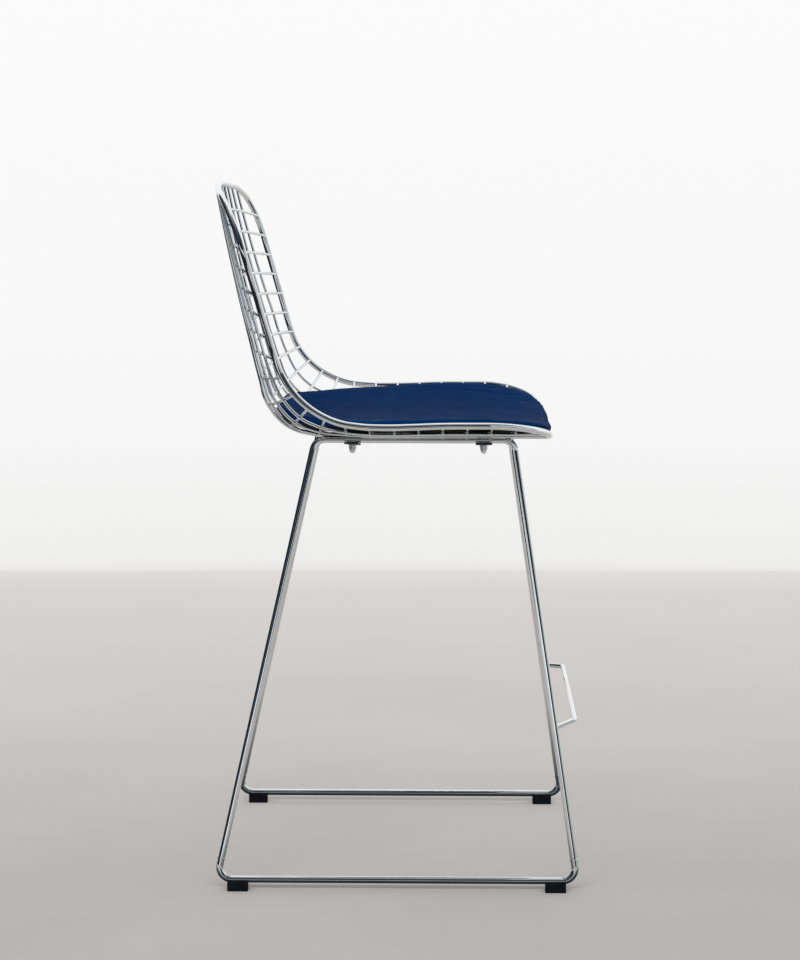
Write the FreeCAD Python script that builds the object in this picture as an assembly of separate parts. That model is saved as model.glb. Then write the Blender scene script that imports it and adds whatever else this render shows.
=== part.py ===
import FreeCAD, Part
import math
import os

# Bar stool with a dished wire shell on two sled side frames, with a loose seat pad.
# Millimetres. Z is up, the sitter faces -Y, and the origin is under the middle of the stool.

# Rods and wires
rim_diameter = 10.0
mesh_wire_diameter = 4.5
frame_rod_diameter = 11.0
footrest_diameter = 8.0
cross_bar_diameter = 7.0
weld_gap = 0.1

# Shell, along its middle: heights and lengths of the crosswise wires
front_edge_y = -236.3
middle_height = 690.6
middle_corner_y = 193.9
middle_bend_radius = 83.0
middle_lean = math.radians(13.4)
middle_straight_back = 120.0
middle_curl_radius = 3000.0

# Shell, along its edge
edge_height = 734.6
edge_corner_y = 152.7
edge_bend_radius = 129.0
edge_lean = math.radians(16.1)
edge_sag = 3.0
edge_sag_from_corner = 140.0
edge_sag_reach = 105.0

# Outline of the rim
seat_half_width = 269.2
waist_half_width = 225.0
upper_half_width = 231.0
narrowing_start = 254.0
waist_distance = 465.0
upper_distance = 565.0
front_corner_radius = 97.0
top_height = 1082.0
top_crown_radius = 860.0
top_corner_radius = 75.0
rim_joint_shift = 0.3

# Crosswise wires: the pitch differs along the middle and along the edge of the shell
front_margin = 52.0
seat_gap_count = 7
seat_pitch = 37.2
bend_gap_count = 5
bend_middle_pitch = 48.2
bend_edge_pitch = 28.6
back_gap_count = 6
top_wire_middle_drop = 42.0
top_wire_edge_drop = 64.5

# Lengthwise wires: they stand closer together up the back
wires_each_side = 6
seat_wire_pitch = 36.8
waist_wire_pitch = 33.5
top_wire_pitch = 30.5

# Side frames
sled_rear_y = 275.9
sled_front_y = -284.1
sled_half_width = 245.5
runner_height = 17.0
top_bar_rear_y = 124.0
top_bar_front_y = -182.2
top_bar_half_width = 160.7
top_bend_radius = 19.0
bottom_bend_radius = 19.0
weld_above_bend = 10.0
weld_collar_length = 3.0
weld_collar_thickness = 0.7

# Footrest
footrest_leg_height = 253.5
footrest_bar_y = -281.8
footrest_bar_height = 258.7
footrest_half_width = 182.0
footrest_bend_radius = 14.0

# Cross bars under the seat
cross_bar_y = (-91.3, 20.3)

# Clamps that hold the shell to the side frames
clamp_y = (-136.4, 65.6)
clamp_plate_clearance = 1.0
saddle_length = 26.0
clamp_plate_thickness = 2.0
saddle_thickness = 2.5
saddle_reach = 9.0
saddle_front_taper = 5.0
bolt_diameter = 6.0
bolt_head_diameter = 10.0
bolt_hole_clearance = 0.3
washer_diameter = 13.0
washer_thickness = 1.4
nut_width = 11.0
nut_height = 5.0
dome_diameter = 9.6
dome_height = 6.5

# Feet
foot_length = 32.0
foot_width = 19.0
foot_centre_from_corner = 33.0
foot_edge_radius = 2.0
foot_groove_clearance = 0.15

# Seat pad, laid on the crosswise wires and over the front of the rim
pad_side_margin = 27.2
pad_widest_from_front = 137.6
pad_front_overhang = 8.0
pad_rear_from_front = 445.0
pad_outline_power = 2.3
pad_front_power = 4.5
pad_rear_power = 3.6
pad_thickness = 10.0
pad_crown = 3.0
pad_bulge = 2.0
pad_cover_thickness = 3.0
pad_base_thickness = 2.5
pad_layer_inset = 1.0
pad_layer_gap = 0.15
pad_clearance = 0.6

rim_radius = rim_diameter / 2
wire_radius = mesh_wire_diameter / 2
rod_radius = frame_rod_diameter / 2
pad_half_width = seat_half_width - pad_side_margin
last_wire_number = seat_gap_count + bend_gap_count + back_gap_count
wire_drop = mesh_wire_diameter + weld_gap
rim_drop = wire_drop / 2
Vector = FreeCAD.Vector


def smooth(share):
    """0 to 1 with level ends."""
    share = min(1.0, max(0.0, share))
    return share * share * (3 - 2 * share)


def crossing(read, low, high):
    """Place where read(place) rises through zero."""
    for _ in range(60):
        middle = (low + high) / 2
        if read(middle) < 0:
            low = middle
        else:
            high = middle
    return low


def bent_line(distance, height, corner_y, radius, lean, straight, curl_radius):
    """Side view (y, z) of a line that runs back along the seat, bends and climbs the back."""
    turn = math.pi / 2 - lean
    tangent = radius * math.tan(turn / 2)
    seat_length = corner_y - tangent - front_edge_y
    if distance <= seat_length:
        return front_edge_y + distance, height
    angle = min(turn, (distance - seat_length) / radius)
    y = front_edge_y + seat_length + radius * math.sin(angle)
    z = height + radius * (1 - math.cos(angle))
    climb = distance - seat_length - radius * turn
    if climb <= 0:
        return y, z
    run = min(climb, straight)
    y += run * math.cos(turn)
    z += run * math.sin(turn)
    curl = max(0.0, climb - straight) / curl_radius
    y += curl_radius * (math.sin(turn + curl) - math.sin(turn))
    z += curl_radius * (math.cos(turn) - math.cos(turn + curl))
    return y, z


def station_distance(station, bend_pitch, back_pitch):
    """Distance from the front edge to a crosswise wire, whose number may be a fraction."""
    on_seat = min(station, seat_gap_count)
    on_bend = min(max(station - seat_gap_count, 0.0), bend_gap_count)
    on_back = max(station - seat_gap_count - bend_gap_count, 0.0)
    return front_margin + seat_pitch * on_seat + bend_pitch * on_bend + back_pitch * on_back


def middle_line(distance):
    return bent_line(distance, middle_height, middle_corner_y, middle_bend_radius, middle_lean,
                     middle_straight_back, middle_curl_radius)


def edge_line(distance):
    """Side view of the shell's edge, which dips a little just before it bends."""
    y, z = bent_line(distance, edge_height, edge_corner_y, edge_bend_radius, edge_lean,
                     2 * top_height, middle_curl_radius)
    from_lowest = abs(edge_corner_y - edge_sag_from_corner - y)
    return y, z - edge_sag * smooth(1 - from_lowest / edge_sag_reach)


def back_pitch(line, bend_pitch, top_wire_height):
    """Pitch up the back that brings the last crosswise wire to its height."""
    back_start = station_distance(seat_gap_count + bend_gap_count, bend_pitch, 0.0)
    back_end = crossing(lambda distance: line(distance)[1] - top_wire_height, back_start, 3 * top_height)
    return (back_end - back_start) / back_gap_count


def middle_point(station):
    return middle_line(station_distance(station, bend_middle_pitch, back_middle_pitch))


def edge_point(station):
    return edge_line(station_distance(station, bend_edge_pitch, back_edge_pitch))


def half_width(station):
    distance = station_distance(station, bend_edge_pitch, back_edge_pitch)
    narrowing = smooth((distance - narrowing_start) / (waist_distance - narrowing_start))
    widening = smooth((distance - waist_distance) / (upper_distance - waist_distance))
    width = seat_half_width + (waist_half_width - seat_half_width) * narrowing
    return width + (upper_half_width - waist_half_width) * widening


def section(station):
    """Middle point, unit direction from middle to edge, and radius of the arc across the shell."""
    my, mz = middle_point(station)
    ey, ez = edge_point(station)
    rise = math.hypot(ey - my, ez - mz)
    radius = (half_width(station) ** 2 + rise ** 2) / (2 * rise)
    return (my, mz), ((ey - my) / rise, (ez - mz) / rise), radius


def shell_point(station, x, lift=0.0):
    """Point on the crosswise wires' surface; lift raises it along the arc's own radius."""
    (my, mz), (dy, dz), radius = section(station)
    height = radius - math.sqrt(radius ** 2 - x ** 2)
    inward = Vector(-x, 0, 0) + Vector(0, dy, dz) * (radius - height)
    base = Vector(x, my + dy * height, mz + dz * height)
    return base + inward.normalize() * lift


def wire_pitch(station):
    bend_start = float(seat_gap_count + 1)
    bend_end = float(seat_gap_count + bend_gap_count + 1)
    low = smooth((station - bend_start) / (bend_end - bend_start))
    high = max(0.0, (station - bend_end) / (last_wire_number - bend_end))
    pitch = seat_wire_pitch + (waist_wire_pitch - seat_wire_pitch) * low
    return pitch + (top_wire_pitch - waist_wire_pitch) * high


def outward(station, x):
    """Unit normal of the shell, away from the sitter."""
    step = 0.05
    along = shell_point(station + step, x) - shell_point(station - step, x)
    across = shell_point(station, x + step) - shell_point(station, x - step)
    return along.cross(across).normalize()


def arc_or_line(start, direction, end):
    """Edge from start to end that leaves along direction."""
    chord = end - start
    half = chord.Length / 2
    unit = Vector(chord).normalize()
    side = direction - unit * direction.dot(unit)
    if side.Length < 1e-5:
        return Part.LineSegment(start, end).toShape()
    angle = math.atan2(side.Length, direction.dot(unit))
    crest = (start + end) * 0.5 + side.normalize() * (half * math.tan(angle / 2))
    return Part.Arc(start, crest, end).toShape()


def smooth_path(points, first=None, last=None):
    """Tangent arcs, two to each span, through the points."""
    count = len(points)
    tangents = []
    for i in range(count):
        before = points[max(i - 1, 0)]
        after = points[min(i + 1, count - 1)]
        if 0 < i < count - 1:
            back = points[i] - before
            ahead = after - points[i]
            heading = back * (ahead.Length / back.Length) + ahead * (back.Length / ahead.Length)
        else:
            heading = after - before
        tangents.append(heading.normalize())
    tangents[0] = first or tangents[0]
    tangents[-1] = last or tangents[-1]
    edges = []
    for i in range(count - 1):
        p, q, tp, tq = points[i], points[i + 1], tangents[i], tangents[i + 1]
        chord = q - p
        pull = chord.dot(tp + tq)
        spread = 2 * (1 - tp.dot(tq))
        reach = chord.dot(chord) / (pull + math.sqrt(pull ** 2 + spread * chord.dot(chord)))
        joint = (p + tp * reach + q - tq * reach) * 0.5
        middle_heading = (q - tq * reach - p - tp * reach).normalize()
        edges.append(arc_or_line(p, tp, joint))
        edges.append(arc_or_line(joint, middle_heading, q))
    return edges


def filleted_path(corners, radii):
    """Straight runs joined by tangent arcs; radii has one value for each inner corner."""
    edges = []
    start = corners[0]
    for before, corner, after, radius in zip(corners, corners[1:], corners[2:], radii):
        back = (before - corner).normalize()
        ahead = (after - corner).normalize()
        half = math.acos(back.dot(ahead)) / 2
        tangent = radius / math.tan(half)
        crest = corner + (back + ahead).normalize() * (radius / math.sin(half) - radius)
        edges.append(Part.LineSegment(start, corner + back * tangent).toShape())
        edges.append(Part.Arc(corner + back * tangent, crest, corner + ahead * tangent).toShape())
        start = corner + ahead * tangent
    edges.append(Part.LineSegment(start, corners[-1]).toShape())
    return edges


def rod(edges, diameter):
    """Round rod along tangent edges."""
    first = edges[0]
    heading = first.tangentAt(first.FirstParameter)
    ring = Part.Circle(first.valueAt(first.FirstParameter), heading, diameter / 2)
    return Part.Wire(edges).makePipeShell([Part.Wire([ring.toShape()])], True, False)


def mirrored(shape):
    return shape.mirror(Vector(0, 0, 0), Vector(1, 0, 0))


def top_outline(x):
    """Height of the top of the outline at x."""
    crown_centre = top_height - top_crown_radius
    corner_x = upper_half_width - top_corner_radius
    reach = top_crown_radius - top_corner_radius
    corner_z = crown_centre + math.sqrt(reach ** 2 - corner_x ** 2)
    if x <= corner_x * top_crown_radius / reach:
        return crown_centre + math.sqrt(top_crown_radius ** 2 - x ** 2)
    return corner_z + math.sqrt(top_corner_radius ** 2 - (x - corner_x) ** 2)


def front_outline(x):
    """Distance of the outline behind the front edge at x."""
    offset = max(0.0, x - (seat_half_width - front_corner_radius))
    return front_corner_radius - math.sqrt(front_corner_radius ** 2 - offset ** 2)


def station_behind_front(distance):
    return (distance - front_margin) / seat_pitch


def station_on_bend(distance):
    """Crosswise wire number at a distance along the middle that ends on the bend."""
    bend_start = station_distance(seat_gap_count, bend_middle_pitch, back_middle_pitch)
    return seat_gap_count + (distance - bend_start) / bend_middle_pitch


def station_at_height(x_of_station, height):
    return crossing(lambda station: shell_point(station, x_of_station(station)).z - height,
                    last_wire_number - 2.0, last_wire_number + 3.0)


def rim_reach(station):
    """Distance from the middle of the shell to the rim along a crosswise wire."""
    width = half_width(station)
    inside = front_corner_radius - station_distance(station, bend_edge_pitch, back_edge_pitch)
    if inside > 0:
        return width - front_corner_radius + math.sqrt(front_corner_radius ** 2 - inside ** 2)
    if shell_point(station, upper_half_width).z < top_outline(upper_half_width):
        return width
    corner_x = upper_half_width - top_corner_radius
    return crossing(lambda x: shell_point(station, x).z - top_outline(x), corner_x, upper_half_width)


def rim_half_points():
    """Points of the rim's axis on one side, from the front middle to the top middle."""
    places = []
    for share in (0.0, 0.5, 1.0):
        places.append((station_behind_front(0.0), share * (seat_half_width - front_corner_radius)))
    for angle in (22.5, 45.0, 67.5):
        x = seat_half_width - front_corner_radius * (1 - math.sin(math.radians(angle)))
        behind = front_corner_radius * (1 - math.cos(math.radians(angle)))
        places.append((station_behind_front(behind), x))
    corner_x = upper_half_width - top_corner_radius
    corner_z = top_outline(corner_x + 0.99 * top_corner_radius)
    first = math.ceil(station_behind_front(front_corner_radius))
    for station in range(first, last_wire_number + 1):
        if edge_point(station)[1] < corner_z - seat_pitch / 2:
            places.append((station + rim_joint_shift, half_width(station + rim_joint_shift)))
    crown_x = corner_x * top_crown_radius / (top_crown_radius - top_corner_radius)
    for angle in (82.0, 60.0, 38.0):
        x = corner_x + top_corner_radius * math.sin(math.radians(angle))
        places.append((station_at_height(lambda s, x=x: x, top_outline(x)), x))
    for share in (1.0, 0.5, 0.0):
        x = share * crown_x
        places.append((station_at_height(lambda s, x=x: x, top_outline(x)), x))
    return [shell_point(station, x) + outward(station, x) * rim_drop for station, x in places]


def half_rim(diameter):
    return rod(smooth_path(rim_half_points(), Vector(1, 0, 0), Vector(-1, 0, 0)), diameter)


def make_rim():
    half = half_rim(rim_diameter)
    return half.fuse(mirrored(half)).removeSplitter().Solids[0]


def crosswise_wire(station, rim_cut):
    reach = rim_reach(station)
    arc = Part.Arc(shell_point(station, -reach), shell_point(station, 0), shell_point(station, reach))
    return rod([arc.toShape()], mesh_wire_diameter).cut(rim_cut).cut(mirrored(rim_cut))


def lengthwise_wire(number, rim_cut):
    """Lengthwise wire on the +X side, cut to the rim; number 0 is next to the middle."""
    def place(station):
        return (number + 0.5) * wire_pitch(station)

    def axis_point(station):
        x = place(station)
        return shell_point(station, x) + outward(station, x) * wire_drop

    first = station_behind_front(front_outline(place(0.0)))
    last = station_at_height(place, top_outline(place(last_wire_number)))
    stations = [first] + [float(i) for i in range(last_wire_number + 1)] + [last]
    return rod(smooth_path([axis_point(s) for s in stations]), mesh_wire_diameter).cut(rim_cut)


def frame_point(y, share):
    """Point in the leaning plane of the +X side frame; share is 0 on the runner and 1 on the top bar."""
    x = sled_half_width + (top_bar_half_width - sled_half_width) * share
    return Vector(x, y, runner_height + (top_bar_height - runner_height) * share)


def side_frame():
    """Leg loop, runner and weld collars of the +X side."""
    rear_foot, rear_top = frame_point(sled_rear_y, 0), frame_point(top_bar_rear_y, 1)
    front_top, front_foot = frame_point(top_bar_front_y, 1), frame_point(sled_front_y, 0)

    def weld_point(foot, top, other_foot):
        leg = (top - foot).normalize()
        half = math.acos(leg.dot((other_foot - foot).normalize())) / 2
        return foot + leg * (bottom_bend_radius / math.tan(half) + weld_above_bend), leg

    rear_weld, rear_leg = weld_point(rear_foot, rear_top, front_foot)
    front_weld, front_leg = weld_point(front_foot, front_top, rear_foot)
    half_gap = weld_gap / 2
    loop = filleted_path([rear_weld + rear_leg * half_gap, rear_top, front_top,
                          front_weld + front_leg * half_gap], [top_bend_radius] * 2)
    runner = filleted_path([rear_weld - rear_leg * half_gap, rear_foot, front_foot,
                            front_weld - front_leg * half_gap], [bottom_bend_radius] * 2)
    collars = []
    for point, leg in ((rear_weld, rear_leg), (front_weld, front_leg)):
        start = point - leg * (weld_collar_length / 2)
        outer = Part.makeCylinder(rod_radius + weld_collar_thickness, weld_collar_length, start, leg)
        bore = Part.makeCylinder(rod_radius + weld_gap, weld_collar_length, start, leg)
        rims = [e for e in outer.Edges if e.Curve.TypeId == "Part::GeomCircle"]
        collars.append(outer.makeChamfer(weld_collar_thickness * 0.6, rims).cut(bore))
    return rod(loop, frame_rod_diameter), rod(runner, frame_rod_diameter), collars


def make_footrest():
    share = (footrest_leg_height - runner_height) / (top_bar_height - runner_height)
    leg_axis = frame_point(sled_front_y + (top_bar_front_y - sled_front_y) * share, share)
    corner = Vector(footrest_half_width, footrest_bar_y, footrest_bar_height)
    far_corner = Vector(-corner.x, corner.y, corner.z)
    points = [leg_axis, corner, far_corner, Vector(-leg_axis.x, leg_axis.y, leg_axis.z)]
    bar = rod(filleted_path(points, [footrest_bend_radius] * 2), footrest_diameter)
    leg = (frame_point(top_bar_front_y, 1) - frame_point(sled_front_y, 0)).normalize()
    length = 6 * footrest_diameter
    cope = Part.makeCylinder(rod_radius + weld_gap, length, leg_axis - leg * (length / 2), leg)
    return bar.cut(cope).cut(mirrored(cope))


def cross_bar(y):
    """Curved tie under the lengthwise wires, from one top bar to the other."""
    station = station_behind_front(y - front_edge_y)
    drop = wire_drop + wire_radius + cross_bar_diameter / 2 + weld_gap
    reach = top_bar_half_width - rod_radius - cross_bar_diameter / 8 - weld_gap
    ends = [shell_point(station, x, -drop) for x in (-reach, 0.0, reach)]
    return rod([Part.Arc(*ends).toShape()], cross_bar_diameter)


def rounded_plate(length, width, thickness, corner):
    """Plate on the XY plane, centred, with rounded upright edges."""
    plate = Part.makeBox(length, width, thickness, Vector(-length / 2, -width / 2, 0))
    upright = [e for e in plate.Edges if abs(e.tangentAt(e.FirstParameter).z) > 0.9]
    return plate.makeFillet(corner, upright)


def clamp_frame(y):
    """Place of a clamp on the +X side: its Z points up out of the shell, its X outwards."""
    station = station_behind_front(y - front_edge_y)
    x = (wires_each_side - 2) * seat_wire_pitch
    origin = shell_point(station, x)
    up = outward(station, x) * -1
    turn = FreeCAD.Rotation(Vector(0, 0, 1), up)
    return FreeCAD.Placement(origin, turn)


def clamp_pieces(y):
    """Plate, bolt, saddle, washer and domed nut of one clamp on the +X side."""
    place = clamp_frame(y)
    to_local = place.inverse()
    bar = to_local.multVec(Vector(top_bar_half_width, y, top_bar_height))
    wire_under = -wire_drop - wire_radius
    plate_bottom = -wire_drop + wire_radius + weld_gap
    saddle_top = bar.z - rod_radius - weld_gap
    saddle_bottom = saddle_top - saddle_thickness
    hole_radius = bolt_diameter / 2 + bolt_hole_clearance
    hole = Part.makeCylinder(hole_radius, 4 * frame_rod_diameter, Vector(0, 0, -2 * frame_rod_diameter))

    plate_width = seat_wire_pitch + mesh_wire_diameter
    plate_length = seat_pitch - mesh_wire_diameter - 2 * clamp_plate_clearance
    plate = rounded_plate(plate_width, plate_length, clamp_plate_thickness, mesh_wire_diameter)
    cell = math.floor(station_behind_front(y - front_edge_y)) + 0.5
    plate.translate(Vector(0, middle_point(cell)[0] - y, plate_bottom))

    inner = -seat_wire_pitch / 2 - wire_radius
    outer = bar.x + saddle_reach
    half = saddle_length / 2
    outline = [Vector(inner, -half + saddle_front_taper, saddle_bottom), Vector(outer, -half, saddle_bottom),
               Vector(outer, half, saddle_bottom), Vector(inner, half - saddle_front_taper, saddle_bottom)]
    saddle = Part.Face(Part.makePolygon(outline + outline[:1])).extrude(Vector(0, 0, saddle_thickness))
    lip_height = wire_under - weld_gap - saddle_bottom
    lip = Part.makeBox(mesh_wire_diameter, 2 * (half - saddle_front_taper), lip_height,
                       Vector(inner, -half + saddle_front_taper, saddle_bottom))
    saddle = saddle.fuse(lip).removeSplitter()

    washer = Part.makeCylinder(washer_diameter / 2, washer_thickness,
                               Vector(0, 0, saddle_bottom - washer_thickness))
    nut_top = saddle_bottom - washer_thickness
    corners = [Vector(nut_width / math.sqrt(3) * math.cos(math.pi / 3 * i),
                      nut_width / math.sqrt(3) * math.sin(math.pi / 3 * i), nut_top) for i in range(7)]
    nut = Part.Face(Part.makePolygon(corners)).extrude(Vector(0, 0, -nut_height))
    dome_radius = dome_diameter / 2
    dome = Part.makeCylinder(dome_radius, dome_height - dome_radius, Vector(0, 0, nut_top - nut_height),
                             Vector(0, 0, -1))
    ball = Part.makeSphere(dome_radius, Vector(0, 0, nut_top - nut_height - dome_height + dome_radius))
    nut = nut.fuse([dome, ball]).removeSplitter()
    thread_end = nut_top - nut_height
    nut = nut.cut(Part.makeCylinder(bolt_diameter / 2 + weld_gap, nut_height, Vector(0, 0, thread_end)))

    plate_top = plate_bottom + clamp_plate_thickness
    bolt = Part.makeCylinder(bolt_diameter / 2, plate_top - thread_end - weld_gap,
                             Vector(0, 0, thread_end + weld_gap))
    head = Part.makeCone(bolt_diameter / 2, bolt_head_diameter / 2, clamp_plate_thickness,
                         Vector(0, 0, plate_bottom))
    seat = Part.makeCone(hole_radius, bolt_head_diameter / 2 + bolt_hole_clearance, clamp_plate_thickness,
                         Vector(0, 0, plate_bottom))
    pieces = {"clamp_plates": plate.cut(hole).cut(seat), "clamp_bolts": bolt.fuse(head).removeSplitter(),
              "clamp_saddles": saddle.cut(hole), "clamp_washers": washer.cut(hole), "clamp_nuts": nut}
    for piece in pieces.values():
        piece.Placement = place.multiply(piece.Placement)
    return pieces


def foot(y):
    """Clip-on foot under the +X runner."""
    block = Part.makeBox(foot_width, foot_length, runner_height,
                         Vector(-foot_width / 2, -foot_length / 2, 0))
    block = block.makeFillet(foot_edge_radius, [e for e in block.Edges if e.CenterOfMass.z < runner_height - 1
                                                and e.CenterOfMass.z > 1])
    groove = rod_radius + foot_groove_clearance
    cut = Part.makeCylinder(groove, 2 * foot_length, Vector(0, -foot_length, runner_height), Vector(0, 1, 0))
    block = block.cut(cut)
    block.translate(Vector(sled_half_width, y, 0))
    return block


def pad_place(share, inset):
    """Station and half width of the pad; share is -1 at the front end, 0 where widest and 1 at the rear."""
    widest = station_behind_front(pad_widest_from_front)
    if share < 0:
        end, power = station_behind_front(inset - pad_front_overhang), pad_front_power
    else:
        end, power = station_on_bend(pad_rear_from_front - inset), pad_rear_power
    station = widest + (end - widest) * abs(share)
    fullness = (1 - abs(share) ** pad_outline_power) ** (1 / power)
    return station, (pad_half_width - inset) * fullness


def pad_section(share, bottom, top, bottom_crown, top_crown, inset):
    """Closed outline across one layer of the pad: arcs below and above, and rounded sides."""
    station, reach = pad_place(share, inset)
    _, (dy, dz), _ = section(station)
    sag = (wire_radius + rim_drop - rim_radius - weld_gap) * smooth(station / station_behind_front(0.0))
    bulge = pad_bulge * (top - bottom) / pad_thickness

    def place(x, lift):
        return shell_point(station, x, lift) - Vector(0, dy, dz) * sag

    low = [place(x, bottom) for x in (-reach, reach)]
    side = [place(x, (bottom + top) / 2) for x in (-reach - bulge, reach + bulge)]
    high = [place(x, top) for x in (-reach, reach)]
    arcs = [Part.Arc(low[0], place(0.0, bottom + bottom_crown), low[1]), Part.Arc(low[1], side[1], high[1]),
            Part.Arc(high[1], place(0.0, top + top_crown), high[0]), Part.Arc(high[0], side[0], low[0])]
    return Part.Wire([arc.toShape() for arc in arcs])


def pad_layer(bottom, top, bottom_crown, top_crown, inset):
    half = (0.2, 0.4, 0.6, 0.76, 0.88, 0.95, 0.985, 0.998)
    shares = [-share for share in reversed(half)] + [0.0] + list(half)
    sections = [pad_section(share, bottom, top, bottom_crown, top_crown, inset) for share in shares]
    return Part.makeLoft(sections, True, False)


def make_pad():
    floor = wire_radius + pad_clearance
    base_top = floor + pad_base_thickness
    pad_top = floor + pad_thickness
    foam_top = pad_top - pad_cover_thickness
    return {"pad_cover": pad_layer(foam_top + pad_layer_gap, pad_top, pad_crown, pad_crown, 0.0),
            "pad_foam": pad_layer(base_top + pad_layer_gap, foam_top, 0.0, pad_crown, pad_layer_inset),
            "pad_base": pad_layer(floor, base_top, 0.0, 0.0, 2 * pad_layer_inset)}


def seated_top_bar_height():
    """Height at which the top bar touches the second wire from the rim where that is lowest."""
    x = (wires_each_side - 1.5) * seat_wire_pitch
    reach = rod_radius + wire_radius + weld_gap
    heights = []
    for station in range(seat_gap_count + 1):
        wire = shell_point(station, x) + outward(station, x) * wire_drop
        heights.append(wire.z - math.sqrt(reach ** 2 - (wire.x - top_bar_half_width) ** 2))
    return min(heights)


back_middle_pitch = back_pitch(middle_line, bend_middle_pitch, top_height - top_wire_middle_drop)
back_edge_pitch = back_pitch(edge_line, bend_edge_pitch, top_height - top_wire_edge_drop)
top_bar_height = seated_top_bar_height()
parts = {"seat_rim": make_rim()}
rim_cut = half_rim(rim_diameter + 2 * weld_gap)
for number in range(last_wire_number + 1):
    parts["crosswise_wire_%02d" % (number + 1)] = crosswise_wire(float(number), rim_cut)
for number in range(wires_each_side):
    wire = lengthwise_wire(number, rim_cut)
    parts["lengthwise_wire_left_%d" % (number + 1)] = wire
    parts["lengthwise_wire_right_%d" % (number + 1)] = mirrored(wire)
loop, runner, collars = side_frame()
parts["left_leg_loop"] = loop
parts["right_leg_loop"] = mirrored(loop)
parts["left_runner"] = runner
parts["right_runner"] = mirrored(runner)
parts["weld_collars"] = Part.makeCompound(collars + [mirrored(c) for c in collars])
parts["footrest"] = make_footrest()
parts["front_cross_bar"] = cross_bar(cross_bar_y[0])
parts["rear_cross_bar"] = cross_bar(cross_bar_y[1])
feet = [foot(sled_front_y + foot_centre_from_corner), foot(sled_rear_y - foot_centre_from_corner)]
for name, shape in zip(("front_left_foot", "rear_left_foot"), feet):
    parts[name] = shape
    parts[name.replace("left", "right")] = mirrored(shape)
clamps = [clamp_pieces(y) for y in clamp_y]
for name in clamps[0]:
    one_side = [clamp[name] for clamp in clamps]
    parts[name] = Part.makeCompound(one_side + [mirrored(piece) for piece in one_side])
parts.update(make_pad())

os.makedirs("parts", exist_ok=True)
for name, shape in parts.items():
    shape.exportStep("parts/%s.step" % name)
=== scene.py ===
import math

import bmesh
import bpy
from mathutils import Matrix, Vector, geometry
from mathutils.bvhtree import BVHTree
from mathutils.kdtree import KDTree


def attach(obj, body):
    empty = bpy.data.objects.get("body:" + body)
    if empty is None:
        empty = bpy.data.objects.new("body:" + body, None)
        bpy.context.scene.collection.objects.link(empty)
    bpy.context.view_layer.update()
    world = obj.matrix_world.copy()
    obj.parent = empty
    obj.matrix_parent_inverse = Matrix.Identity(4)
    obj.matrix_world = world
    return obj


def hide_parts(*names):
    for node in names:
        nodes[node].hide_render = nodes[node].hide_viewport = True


# Looks of the wire bar stool. Metres, in the frame of the CAD model: Z up, the sitter faces -Y.

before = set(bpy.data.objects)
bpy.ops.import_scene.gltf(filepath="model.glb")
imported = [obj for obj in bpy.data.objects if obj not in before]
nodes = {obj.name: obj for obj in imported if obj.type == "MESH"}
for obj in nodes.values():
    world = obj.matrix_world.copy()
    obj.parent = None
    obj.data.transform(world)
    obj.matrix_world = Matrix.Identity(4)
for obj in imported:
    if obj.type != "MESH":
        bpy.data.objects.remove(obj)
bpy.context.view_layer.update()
scene = bpy.context.scene

# Camera
camera_place = Vector((-4.0758, -0.0473, 1.251))
camera_pitch = math.radians(8.97)
camera_heading = math.radians(0.59)
camera_roll = math.radians(0.14)
camera_lens = 95.93
sensor_size = 36.0

# Floor
floor_back = 2.36
floor_front = -1.55
floor_half_width = 1.9
floor_fade_from = -0.6
floor_turn = math.radians(1.3)
# Painted light: the floor glows in this colour for the camera, more towards the back, to blend into the wall
floor_painted_glow = (0.76, 0.735, 0.71)
# Painted shade: the floor turns this dark teal in the chrome's mirror image close to it, between the near
# and far ray lengths below, in place of a contact shadow under the runners
painted_shade_in_chrome = (0.030, 0.046, 0.054)
painted_shade_near = 0.05
painted_shade_far = 0.40

# Light: the even light on all rough surfaces, and what the camera and the chrome see of the studio.
# Heights are angles above the horizon in degrees. Patches: side angles from the camera's side (towards
# the stool's front is plus), then heights, softness in degrees, colour.
even_light = 0.62
key_place = (-3.2, 0.3, 2.6)
key_aim = (0.0, 0.0, 0.2)
key_width = 5.0
key_height = 0.5
key_power = 100.0
# The wall the camera sees: white, darker towards the floor line as painted shade, with a soft edge at that
# line
wall_heights = ((-11.1, (0.770, 0.760, 0.745)), (-10.75, (0.855, 0.850, 0.845)),
                (-8.3, (0.913, 0.913, 0.913)), (-5.0, (0.947, 0.947, 0.947)), (1.7, (0.958, 0.958, 0.958)))
backdrop_heights = ((-90.0, (0.50, 0.51, 0.50)), (-3.0, (0.74, 0.74, 0.73)), (3.0, (0.98, 0.98, 0.98)),
                    (50.0, (0.96, 0.97, 0.98)), (90.0, (0.84, 0.88, 0.91)))
room_heights = ((-90.0, (0.50, 0.51, 0.50)), (-32.0, (0.40, 0.42, 0.42)), (-24.0, (0.012, 0.016, 0.020)),
                (22.0, (0.014, 0.020, 0.025)), (48.0, (0.08, 0.10, 0.115)), (70.0, (0.22, 0.26, 0.29)),
                (82.0, (0.46, 0.51, 0.55)), (90.0, (0.84, 0.88, 0.91)))
room_rear_edge = -150.0
room_front_edge = 98.0
room_edge_softness = 4.0
studio_patches = (
    (8, 100, -26, -6, 1.5, (0.47, 0.53, 0.51)),
    (57, 100, -6, 30, 3, (0.38, 0.41, 0.42)),
    (-64, -23, -9.3, -1.5, 1.0, (0.60, 0.72, 0.76)),
    (-52, -42, 4, 20, 2, (0.09, 0.15, 0.28)),
    (-23, 12, -3.6, 2.4, 1.0, (1.0, 1.0, 1.0)),
)

# Pale card that only the chrome of the back sees
card_start = Vector((-1.05, -0.22, 0.81))
card_end = Vector((0.05, -1.35, 0.81))
card_height = 0.47
card_colour = (0.58, 0.60, 0.64)

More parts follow.
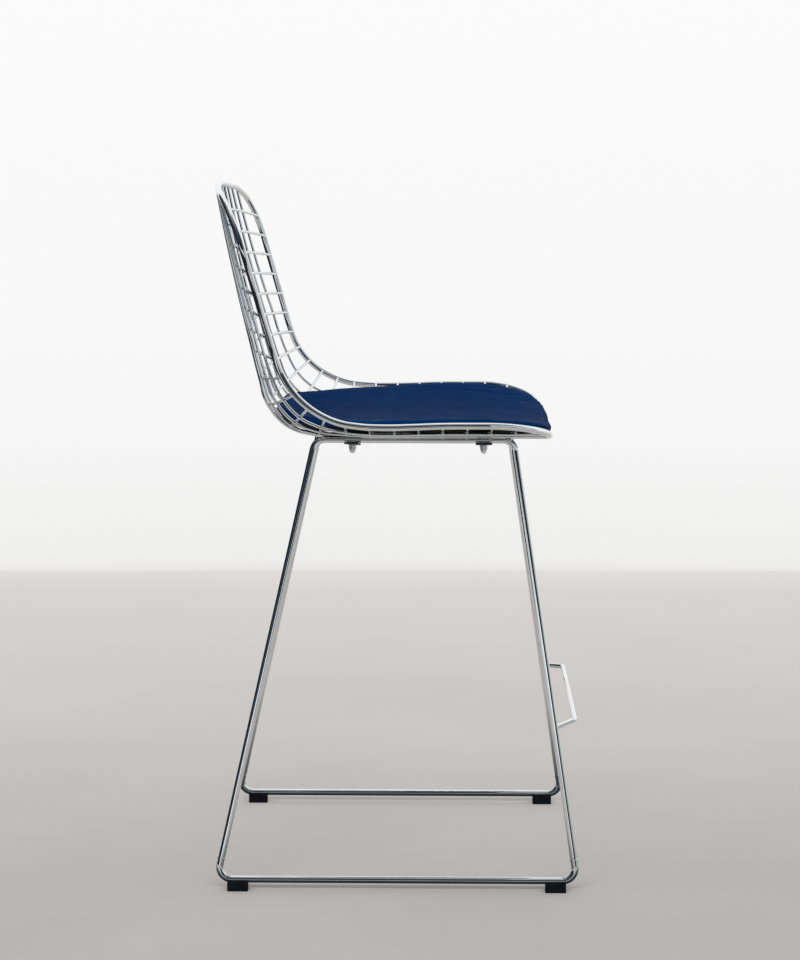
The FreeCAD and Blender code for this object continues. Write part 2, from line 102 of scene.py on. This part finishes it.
# Pad
pad_nodes = ("pad_cover", "pad_foam", "pad_base")
voxel = 0.0032
top_lift = 0.0024
edge_roll = 0.0042
swell_cap = 0.0025
pad_pressure = 4.0
cloth_frames = 20
seam_inset = 0.0095
seam_depth = 0.0016
seam_spread = 0.0022
pin_reach = 0.0022
outline_step = 0.002
stitch_pitch = 0.0045
stitch_length = 0.0034
stitch_thickness = 0.0009
edge_bead_radius = 0.0009
edge_bead_sides = 8
outline_smoothing = 12
edge_bead_smoothing = 3
look_down_from = 0.2
search_lift = 0.004
stitch_lift = 0.002
stitch_rise = 0.15
top_facing = 0.2
cover_facing = 0.4
cover_wrap = 0.013


# Node helpers

def new_material(name):
    material = bpy.data.materials.new(name)
    material.use_nodes = True
    return material, material.node_tree, material.node_tree.nodes["Principled BSDF"]


def put(tree, value, socket):
    """Links a socket to an input, or sets the input's own value."""
    if isinstance(value, bpy.types.NodeSocket):
        tree.links.new(value, socket)
    else:
        socket.default_value = value


def maths(tree, operation, first, second=0.0):
    node = tree.nodes.new("ShaderNodeMath")
    node.operation = operation
    put(tree, first, node.inputs[0])
    put(tree, second, node.inputs[1])
    return node.outputs[0]


def place_in_part(tree):
    return tree.nodes.new("ShaderNodeTexCoord").outputs["Object"]


def noise(tree, scale, detail=2.0):
    node = tree.nodes.new("ShaderNodeTexNoise")
    tree.links.new(place_in_part(tree), node.inputs["Vector"])
    node.inputs["Scale"].default_value = scale
    node.inputs["Detail"].default_value = detail
    return node.outputs["Fac"]


def ramp(tree, source, stops):
    """Colour ramp; stops are (place, colour)."""
    node = tree.nodes.new("ShaderNodeValToRGB")
    while len(node.color_ramp.elements) < len(stops):
        node.color_ramp.elements.new(0.5)
    for element, (place, colour) in zip(node.color_ramp.elements, stops):
        element.position = place
        element.color = (*colour, 1.0)
    tree.links.new(source, node.inputs["Fac"])
    return node.outputs["Color"]


def spread(tree, source, low, high):
    """Noise from 0.3 to 0.7 spread over low to high."""
    node = tree.nodes.new("ShaderNodeMapRange")
    tree.links.new(source, node.inputs["Value"])
    node.inputs["From Min"].default_value = 0.3
    node.inputs["From Max"].default_value = 0.7
    node.inputs["To Min"].default_value = low
    node.inputs["To Max"].default_value = high
    return node.outputs["Result"]


def bump(tree, height, strength, distance, below=None):
    node = tree.nodes.new("ShaderNodeBump")
    node.inputs["Strength"].default_value = strength
    node.inputs["Distance"].default_value = distance
    tree.links.new(height, node.inputs["Height"])
    if below:
        tree.links.new(below, node.inputs["Normal"])
    return node.outputs["Normal"]


def mixed(tree, share, first, second):
    node = tree.nodes.new("ShaderNodeMix")
    node.data_type = "RGBA"
    tree.links.new(share, node.inputs["Factor"])
    tree.links.new(first, node.inputs[6])
    put(tree, second, node.inputs[7])
    return node.outputs[2]


# Materials

def chrome_material():
    material, tree, shader = new_material("chrome_plate")
    shader.inputs["Metallic"].default_value = 1.0
    tint = ramp(tree, noise(tree, 35.0), [(0.3, (0.80, 0.82, 0.83)), (0.7, (0.86, 0.88, 0.89))])
    tree.links.new(tint, shader.inputs["Base Color"])
    tree.links.new(spread(tree, noise(tree, 60.0, 4.0), 0.03, 0.07), shader.inputs["Roughness"])
    tree.links.new(bump(tree, noise(tree, 160.0), 0.05, 0.0004), shader.inputs["Normal"])
    return material


def clamp_material():
    material, tree, shader = new_material("zinc_plate")
    shader.inputs["Metallic"].default_value = 0.7
    tint = ramp(tree, noise(tree, 220.0, 4.0), [(0.3, (0.70, 0.69, 0.67)), (0.7, (0.82, 0.81, 0.79))])
    tree.links.new(tint, shader.inputs["Base Color"])
    tree.links.new(spread(tree, noise(tree, 300.0, 4.0), 0.20, 0.32), shader.inputs["Roughness"])
    tree.links.new(bump(tree, noise(tree, 900.0), 0.15, 0.0003), shader.inputs["Normal"])
    return material


def foot_material():
    material, tree, shader = new_material("black_moulded_plastic")
    tint = ramp(tree, noise(tree, 90.0), [(0.3, (0.003, 0.004, 0.007)), (0.7, (0.007, 0.008, 0.012))])
    tree.links.new(tint, shader.inputs["Base Color"])
    shader.inputs["Specular IOR Level"].default_value = 0.25
    tree.links.new(spread(tree, noise(tree, 250.0, 4.0), 0.42, 0.62), shader.inputs["Roughness"])
    tree.links.new(bump(tree, noise(tree, 1500.0, 3.0), 0.25, 0.0003), shader.inputs["Normal"])
    return material


def leatherette_material():
    material, tree, shader = new_material("navy_leatherette")
    tint = ramp(tree, noise(tree, 9.0, 4.0), [(0.3, (0.0005, 0.021, 0.088)), (0.7, (0.0012, 0.027, 0.106))])
    tree.links.new(tint, shader.inputs["Base Color"])
    shader.inputs["Specular IOR Level"].default_value = 0.006
    tree.links.new(spread(tree, noise(tree, 40.0, 4.0), 0.48, 0.60), shader.inputs["Roughness"])
    grain = tree.nodes.new("ShaderNodeTexVoronoi")
    tree.links.new(place_in_part(tree), grain.inputs["Vector"])
    grain.inputs["Scale"].default_value = 850.0
    pebbles = bump(tree, grain.outputs["Distance"], 0.18, 0.0004)
    tree.links.new(bump(tree, noise(tree, 120.0, 3.0), 0.08, 0.001, pebbles), shader.inputs["Normal"])
    return material


def underside_material():
    material, tree, shader = new_material("black_underside_fabric")
    tint = ramp(tree, noise(tree, 400.0, 3.0), [(0.3, (0.003, 0.003, 0.005)), (0.7, (0.008, 0.008, 0.011))])
    tree.links.new(tint, shader.inputs["Base Color"])
    shader.inputs["Specular IOR Level"].default_value = 0.05
    tree.links.new(spread(tree, noise(tree, 300.0), 0.75, 0.95), shader.inputs["Roughness"])
    tree.links.new(bump(tree, noise(tree, 1800.0, 3.0), 0.4, 0.0004), shader.inputs["Normal"])
    return material


def thread_material():
    material, tree, shader = new_material("blue_thread")
    tint = ramp(tree, noise(tree, 700.0), [(0.3, (0.020, 0.075, 0.230)), (0.7, (0.032, 0.100, 0.290))])
    tree.links.new(tint, shader.inputs["Base Color"])
    shader.inputs["Specular IOR Level"].default_value = 0.01
    tree.links.new(spread(tree, noise(tree, 900.0), 0.65, 0.85), shader.inputs["Roughness"])
    return material


def floor_material():
    """Warm grey floor with soft cloudy patches; painted light: paler and glowing for the camera towards the
    back; painted shade: dark in the chrome close to it.
    """
    material, tree, shader = new_material("pale_floor")
    parts = tree.nodes.new("ShaderNodeSeparateXYZ")
    tree.links.new(place_in_part(tree), parts.inputs[0])
    depth = tree.nodes.new("ShaderNodeMapRange")
    tree.links.new(parts.outputs["X"], depth.inputs["Value"])
    depth.inputs["From Min"].default_value = floor_fade_from
    depth.inputs["From Max"].default_value = floor_back
    wave = maths(tree, "MULTIPLY", maths(tree, "SUBTRACT", noise(tree, 2.2, 5.0), 0.5), 0.3)
    # Painted light: the colour gets paler towards the back, standing in for light that brightens the floor
    # towards the wall; the noise gives soft cloudy patches
    tint = ramp(tree, maths(tree, "ADD", depth.outputs["Result"], wave),
                [(0.0, (0.490, 0.470, 0.452)), (0.25, (0.575, 0.550, 0.525)), (0.5, (0.69, 0.655, 0.625)),
                 (0.8, (0.80, 0.765, 0.730)), (1.0, (0.90, 0.875, 0.85))])
    # Painted shade: for glossy rays that meet the floor within a short distance, its colour turns dark, a
    # painted dark reflection in the chrome near the floor
    path = tree.nodes.new("ShaderNodeLightPath")
    close = tree.nodes.new("ShaderNodeMapRange")
    tree.links.new(path.outputs["Ray Length"], close.inputs["Value"])
    close.inputs["From Min"].default_value = painted_shade_far
    close.inputs["From Max"].default_value = painted_shade_near
    painted_shade_share = maths(tree, "MULTIPLY", path.outputs["Is Glossy Ray"], close.outputs["Result"])
    tree.links.new(mixed(tree, painted_shade_share, tint, (*painted_shade_in_chrome, 1.0)), shader.inputs["Base Color"])
    shader.inputs["Roughness"].default_value = 0.85
    shader.inputs["Specular IOR Level"].default_value = 0.1

    # Painted light: a glow that only the camera sees, rising towards the back of the floor
    painted_glow_share = ramp(tree, depth.outputs["Result"], [(0.13, (0.0, 0.0, 0.0)), (0.66, (0.45, 0.45, 0.45)),
                                               (0.91, (0.48, 0.48, 0.48)), (1.0, (0.95, 0.95, 0.95))])
    painted_glow = tree.nodes.new("ShaderNodeEmission")
    painted_glow.inputs["Color"].default_value = (*floor_painted_glow, 1.0)
    mix = tree.nodes.new("ShaderNodeMixShader")
    tree.links.new(maths(tree, "MULTIPLY", path.outputs["Is Camera Ray"], painted_glow_share), mix.inputs[0])
    tree.links.new(shader.outputs[0], mix.inputs[1])
    tree.links.new(painted_glow.outputs[0], mix.inputs[2])
    tree.links.new(mix.outputs[0], tree.nodes["Material Output"].inputs["Surface"])
    return material


# Stage

def make_floor():
    corners = [(floor_front, -floor_half_width), (floor_back, -floor_half_width),
               (floor_back, floor_half_width), (floor_front, floor_half_width)]
    turn = Matrix.Rotation(floor_turn, 3, "Z")
    mesh = bpy.data.meshes.new("floor")
    mesh.from_pydata([turn @ Vector((x, y, 0.0)) for x, y in corners], [], [(0, 1, 2, 3)])
    floor = bpy.data.objects.new("floor", mesh)
    scene.collection.objects.link(floor)
    mesh.materials.append(floor_material())


def make_card():
    up = Vector((0.0, 0.0, card_height))
    mesh = bpy.data.meshes.new("card")
    mesh.from_pydata([card_start, card_end, card_end + up, card_start + up], [], [(0, 1, 2, 3)])
    card = bpy.data.objects.new("card", mesh)
    scene.collection.objects.link(card)
    material, tree, shader = new_material("pale_card")
    shader.inputs["Base Color"].default_value = (0.0, 0.0, 0.0, 1.0)
    shader.inputs["Specular IOR Level"].default_value = 0.0
    shader.inputs["Emission Color"].default_value = (*card_colour, 1.0)
    shader.inputs["Emission Strength"].default_value = 1.0
    mesh.materials.append(material)
    card.visible_camera = False
    card.visible_diffuse = False
    card.visible_shadow = False


def window(tree, value, low, high, soft):
    """1 from low to high, 0 outside, with soft edges; degrees."""
    sides = []
    for start, end in ((low - soft, low + soft), (high + soft, high - soft)):
        node = tree.nodes.new("ShaderNodeMapRange")
        node.interpolation_type = "SMOOTHSTEP"
        tree.links.new(value, node.inputs["Value"])
        node.inputs["From Min"].default_value = math.radians(start)
        node.inputs["From Max"].default_value = math.radians(end)
        sides.append(node.outputs["Result"])
    return maths(tree, "MULTIPLY", sides[0], sides[1])


def by_height(tree, rise, stops):
    """Colour ramp over the angle above the horizon; stops are (degrees, colour)."""
    low = stops[0][0]
    high = stops[-1][0]
    node = tree.nodes.new("ShaderNodeMapRange")
    tree.links.new(rise, node.inputs["Value"])
    node.inputs["From Min"].default_value = math.radians(low)
    node.inputs["From Max"].default_value = math.radians(high)
    places = [((angle - low) / (high - low), colour) for angle, colour in stops]
    return ramp(tree, node.outputs["Result"], places)


def make_world():
    """Pale backdrop for the camera, a studio with a dark side for the chrome, even light elsewhere."""
    world = bpy.data.worlds.new("studio")
    scene.world = world
    world.use_nodes = True
    tree = world.node_tree
    tree.nodes.clear()
    heading = tree.nodes.new("ShaderNodeSeparateXYZ")
    tree.links.new(tree.nodes.new("ShaderNodeTexCoord").outputs["Generated"], heading.inputs[0])
    rise = maths(tree, "ARCSINE", heading.outputs["Z"])
    side = maths(tree, "ARCTAN2", maths(tree, "MULTIPLY", heading.outputs["Y"], -1.0),
                 maths(tree, "MULTIPLY", heading.outputs["X"], -1.0))
    wall = by_height(tree, rise, wall_heights)
    in_front = window(tree, side, room_rear_edge, room_front_edge, room_edge_softness)
    studio = mixed(tree, in_front, by_height(tree, rise, backdrop_heights),
                   by_height(tree, rise, room_heights))
    for low, high, bottom, top, soft, colour in studio_patches:
        patch = maths(tree, "MULTIPLY", window(tree, side, low, high, soft),
                      window(tree, rise, bottom, top, soft))
        studio = mixed(tree, patch, studio, (*colour, 1.0))

    path = tree.nodes.new("ShaderNodeLightPath")
    even = tree.nodes.new("ShaderNodeBackground")
    even.inputs["Color"].default_value = (0.985, 0.99, 1.0, 1.0)
    even.inputs["Strength"].default_value = even_light
    result = even.outputs[0]
    for colour, ray in ((studio, "Is Glossy Ray"), (wall, "Is Camera Ray")):
        shown = tree.nodes.new("ShaderNodeBackground")
        tree.links.new(colour, shown.inputs["Color"])
        mix = tree.nodes.new("ShaderNodeMixShader")
        tree.links.new(path.outputs[ray], mix.inputs[0])
        tree.links.new(result, mix.inputs[1])
        tree.links.new(shown.outputs[0], mix.inputs[2])
        result = mix.outputs[0]
    output = tree.nodes.new("ShaderNodeOutputWorld")
    tree.links.new(result, output.inputs["Surface"])


def make_lamp(name, place, aim, width, height, power):
    data = bpy.data.lights.new(name, "AREA")
    data.shape = "RECTANGLE"
    data.size = width
    data.size_y = height
    data.energy = power
    lamp = bpy.data.objects.new(name, data)
    lamp.location = place
    lamp.rotation_mode = "QUATERNION"
    lamp.rotation_quaternion = (Vector(aim) - Vector(place)).to_track_quat("-Z", "Y")
    lamp.visible_glossy = False
    scene.collection.objects.link(lamp)


def make_camera():
    ahead = Vector((math.cos(camera_heading) * math.cos(camera_pitch),
                    math.sin(camera_heading) * math.cos(camera_pitch), -math.sin(camera_pitch)))
    level_right = Vector((math.sin(camera_heading), -math.cos(camera_heading), 0.0))
    level_down = ahead.cross(level_right)
    right = level_right * math.cos(camera_roll) - level_down * math.sin(camera_roll)
    up = right.cross(ahead)
    data = bpy.data.cameras.new("camera")
    data.lens = camera_lens
    data.sensor_width = sensor_size
    data.clip_end = 50.0
    camera = bpy.data.objects.new("camera", data)
    turn = Matrix((right, up, -ahead)).transposed().to_4x4()
    camera.matrix_world = Matrix.Translation(camera_place) @ turn
    scene.collection.objects.link(camera)
    scene.camera = camera


# Pad

def new_piece(name, shape, material):
    """Object from a bmesh, which rides on the stool."""
    mesh = bpy.data.meshes.new(name)
    shape.to_mesh(mesh)
    shape.free()
    mesh.materials.clear()
    mesh.materials.append(material)
    for face in mesh.polygons:
        face.use_smooth = True
    piece = bpy.data.objects.new(name, mesh)
    scene.collection.objects.link(piece)
    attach(piece, "root")
    return piece


def bake(piece):
    """Replaces the mesh by what its modifiers make of it."""
    bpy.context.view_layer.update()
    graph = bpy.context.evaluated_depsgraph_get()
    made = bpy.data.meshes.new_from_object(piece.evaluated_get(graph))
    piece.modifiers.clear()
    piece.data = made


def smoothed(points, rounds):
    """Closed row of points, each drawn towards its two neighbours."""
    for _ in range(rounds):
        points = [(points[i - 1] + points[i] * 2 + points[(i + 1) % len(points)]) / 4
                  for i in range(len(points))]
    return points


def pad_outline():
    """Even points round the outside of the pad's cover, anticlockwise from above."""
    places = [vertex.co for vertex in nodes["pad_cover"].data.vertices]
    hull = [places[i] for i in geometry.convex_hull_2d([p.to_2d() for p in places])]
    lengths = [(hull[i - 1] - hull[i]).length for i in range(len(hull))]
    count = round(sum(lengths) / outline_step)
    step = sum(lengths) / count
    points = []
    position = 0.0
    for i in range(len(hull)):
        while position < lengths[i]:
            points.append(hull[i - 1].lerp(hull[i], position / lengths[i]))
            position += step
        position -= lengths[i]
    return smoothed(points, outline_smoothing)


def seam_line(outline, surface):
    """Points of the stitched seam on top of the pad, with the surface's normals."""
    middle = sum(outline, Vector()) / len(outline)
    seam = []
    for i, point in enumerate(outline):
        along = (outline[(i + 1) % len(outline)] - outline[i - 1]).normalized()
        guess = point + (middle - point).to_2d().normalized().to_3d() * seam_inset
        _, normal, _, _ = surface.ray_cast(guess + Vector((0, 0, look_down_from)), Vector((0, 0, -1)))
        inward = normal.cross(along).normalized()
        place, normal, _, _ = surface.find_nearest(point + inward * seam_inset + normal * search_lift)
        seam.append((place, normal))
    return seam


def surface_of(piece):
    mesh = piece.data
    return BVHTree.FromPolygons([v.co for v in mesh.vertices], [p.vertices for p in mesh.polygons])


def tree_of(points):
    tree = KDTree(len(points))
    for i, point in enumerate(points):
        tree.insert(point, i)
    tree.balance()
    return tree


def swell(pad, pinned):
    """Cloth under pressure, with the pinned points held and each point's way capped."""
    group = pad.vertex_groups.new(name="held")
    group.add(pinned, 1.0, "REPLACE")
    cloth = pad.modifiers.new("cloth", "CLOTH")
    settings = cloth.settings
    settings.quality = 5
    settings.mass = 0.3
    settings.tension_stiffness = 20.0
    settings.compression_stiffness = 20.0
    settings.bending_stiffness = 2.0
    settings.use_pressure = True
    settings.uniform_pressure_force = pad_pressure
    settings.effector_weights.gravity = 0.0
    settings.vertex_group_mass = "held"
    cloth.collision_settings.use_collision = False
    for number in range(1, cloth_frames + 1):
        scene.frame_set(number)
    graph = bpy.context.evaluated_depsgraph_get()
    moved = [vertex.co.copy() for vertex in pad.evaluated_get(graph).data.vertices]
    pad.modifiers.clear()
    scene.frame_set(1)
    for vertex, place in zip(pad.data.vertices, moved):
        way = place - vertex.co
        if way.length > swell_cap:
            way *= swell_cap / way.length
        vertex.co += way


def make_pad(leatherette, underside, thread):
    shape = bmesh.new()
    for name in pad_nodes:
        shape.from_mesh(nodes[name].data)
    pad = new_piece("seat_pad", shape, leatherette)
    pad.data.materials.append(underside)
    remesh = pad.modifiers.new("remesh", "REMESH")
    remesh.mode = "VOXEL"
    remesh.voxel_size = voxel
    bake(pad)

    outline = pad_outline()
    surface = surface_of(pad)
    seam = seam_line(outline, surface)
    seam_tree = tree_of([place for place, _ in seam])
    pinned = []
    places = [vertex.co.copy() for vertex in pad.data.vertices]
    normals = [vertex.normal.copy() for vertex in pad.data.vertices]
    for vertex, place, normal in zip(pad.data.vertices, places, normals):
        _, nearest, distance = seam_tree.find(place)
        on_top = normal.dot(seam[nearest][1]) > top_facing
        if not on_top or distance < pin_reach:
            pinned.append(vertex.index)
        if on_top:
            groove = seam_depth * math.exp(-(distance / seam_spread) ** 2)
            seam_place = seam[nearest][0]
            beyond = max(0.0, (place - seam_place).dot((outline[nearest] - seam_place).normalized()))
            roll = edge_roll * (beyond / seam_inset) ** 2
            vertex.co = place + normal * (top_lift - groove - roll)
    swell(pad, pinned)
    refine = pad.modifiers.new("refine", "SUBSURF")
    refine.levels = 1
    refine.render_levels = 1
    bake(pad)

    edge_tree = tree_of(outline)
    faces = [(face.center.copy(), face.normal.copy()) for face in pad.data.polygons]
    for face, (centre, normal) in zip(pad.data.polygons, faces):
        _, nearest, distance = edge_tree.find(centre)
        on_top = normal.dot(seam[nearest][1]) > cover_facing
        face.material_index = 0 if on_top or distance < cover_wrap else 1
        face.use_smooth = True
    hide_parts(*pad_nodes)
    surface = surface_of(pad)
    make_stitches(surface, seam, thread)
    make_edge_bead(surface, outline, leatherette)


def make_stitches(surface, seam, thread):
    """Row of short stitches in the seam's groove."""
    every = stitch_pitch / outline_step
    shape = bmesh.new()
    position = 0.0
    while position < len(seam) - 1:
        i = int(position)
        point, normal = seam[i]
        along = seam[(i + 1) % len(seam)][0] - seam[i - 1][0]
        place, normal, _, _ = surface.find_nearest(point + normal * stitch_lift)
        across = normal.cross(along).normalized()
        along = across.cross(normal)
        turn = Matrix((along, across, normal)).transposed().to_4x4()
        size = Matrix.Diagonal((stitch_length, stitch_thickness, stitch_thickness, 1.0))
        centre = Matrix.Translation(place + normal * (stitch_thickness * stitch_rise))
        bmesh.ops.create_uvsphere(shape, u_segments=8, v_segments=6, radius=0.5, matrix=centre @ turn @ size)
        position += every
    new_piece("pad_stitches", shape, thread)


def make_edge_bead(surface, outline, material):
    """Thin rolled edge of the cover sheet, round the whole pad."""
    shape = bmesh.new()
    rings = []
    edge = smoothed([surface.find_nearest(point)[0] for point in outline], edge_bead_smoothing)
    for i, point in enumerate(edge):
        along = (edge[(i + 1) % len(edge)] - edge[i - 1]).normalized()
        outward = along.cross(Vector((0, 0, 1))).normalized()
        up = outward.cross(along)
        ring = []
        for k in range(edge_bead_sides):
            angle = 2 * math.pi * k / edge_bead_sides
            offset = outward * math.cos(angle) + up * math.sin(angle)
            ring.append(shape.verts.new(point + offset * edge_bead_radius))
        rings.append(ring)
    for i, ring in enumerate(rings):
        before = rings[i - 1]
        for k in range(edge_bead_sides):
            shape.faces.new((before[k - 1], before[k], ring[k], ring[k - 1]))
    shape.normal_update()
    new_piece("pad_cover_edge", shape, material)


# Dressing

def dress(materials):
    """Gives every CAD node the material of its slot."""
    for node in nodes.values():
        for holder in node.material_slots:
            holder.material = materials[holder.material.name]


scene.view_settings.view_transform = "Standard"
leatherette = leatherette_material()
underside = underside_material()
dress({"chrome": chrome_material(), "clamp_steel": clamp_material(), "foot_plastic": foot_material(),
       "pad_leatherette": leatherette, "pad_underside": underside, "pad_foam": underside})
make_pad(leatherette, underside, thread_material())
make_floor()
make_card()
make_world()
make_lamp("key", key_place, key_aim, key_width, key_height, key_power)
make_camera()
